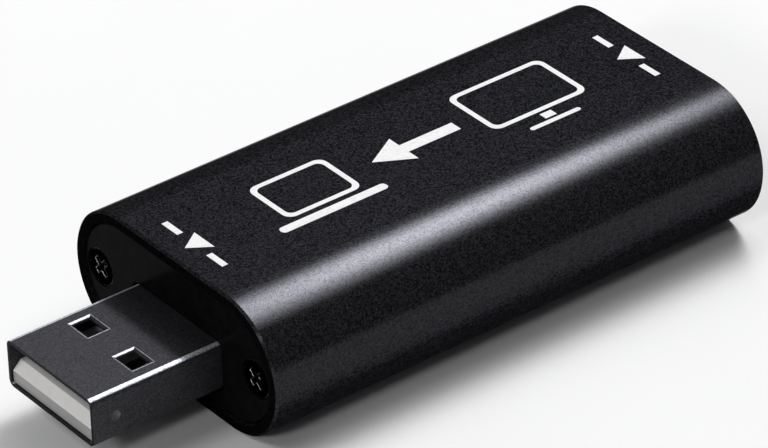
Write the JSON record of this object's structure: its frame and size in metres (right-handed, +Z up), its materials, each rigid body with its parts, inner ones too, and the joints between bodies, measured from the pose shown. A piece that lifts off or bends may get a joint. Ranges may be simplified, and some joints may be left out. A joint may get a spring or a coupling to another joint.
{
  "type": "video capture stick",
  "caption": "Slim video capture stick: a black aluminium sleeve with rounded sides, a data plug on one end and a video input socket on the other.",
  "frame": {"origin": "bottom centre of the whole stick with its plug, on the face that it lies on", "axes": "+X along the stick from the plug to the video socket, +Y across its width, +Z up"},
  "size_m": [0.0644, 0.028, 0.013],
  "materials": {
    "anodised_aluminium": "bead-blasted and anodised black, satin",
    "cap_plastic": "moulded black, satin gloss",
    "black_screw": "black zinc plated steel, rubbed bright on its edges",
    "nickel_plate": "nickel-plated steel sheet, satin, brighter along its bends",
    "white_plastic": "white moulded plastic",
    "gold_contact": "gold flash over nickel, bright",
    "black_plastic": "black glass-filled plastic, matt",
    "board_laminate": "glass laminate under green solder mask",
    "chip_moulding": "black moulding compound, matt",
    "tinned_lead": "tinned, satin",
    "can_metal": "nickel-plated drawn can",
    "capacitor_ceramic": "tan ceramic",
    "resistor_glaze": "black glaze over alumina"
  },
  "bodies": {
    "root": {"sleeve": "anodised_aluminium", "plug_end_cap": "cap_plastic", "socket_end_cap": "cap_plastic", "plug_end_screws": "black_screw", "socket_end_screws": "black_screw", "plug_shell": "nickel_plate", "plug_insulator": "white_plastic", "plug_contacts": "gold_contact", "video_socket_shell": "nickel_plate", "video_socket_insulator": "black_plastic", "video_socket_upper_contacts": "gold_contact", "video_socket_lower_contacts": "gold_contact", "circuit_board": "board_laminate", "capture_chip": "chip_moulding", "capture_chip_leads": "tinned_lead", "memory_chip": "chip_moulding", "memory_chip_leads": "tinned_lead", "voltage_regulator": "chip_moulding", "regulator_leads": "tinned_lead", "crystal_base": "black_plastic", "crystal_can": "can_metal", "capacitor_bodies": "capacitor_ceramic", "capacitor_ends": "tinned_lead", "resistor_bodies": "resistor_glaze", "resistor_ends": "tinned_lead"}
  },
  "joints": []
}
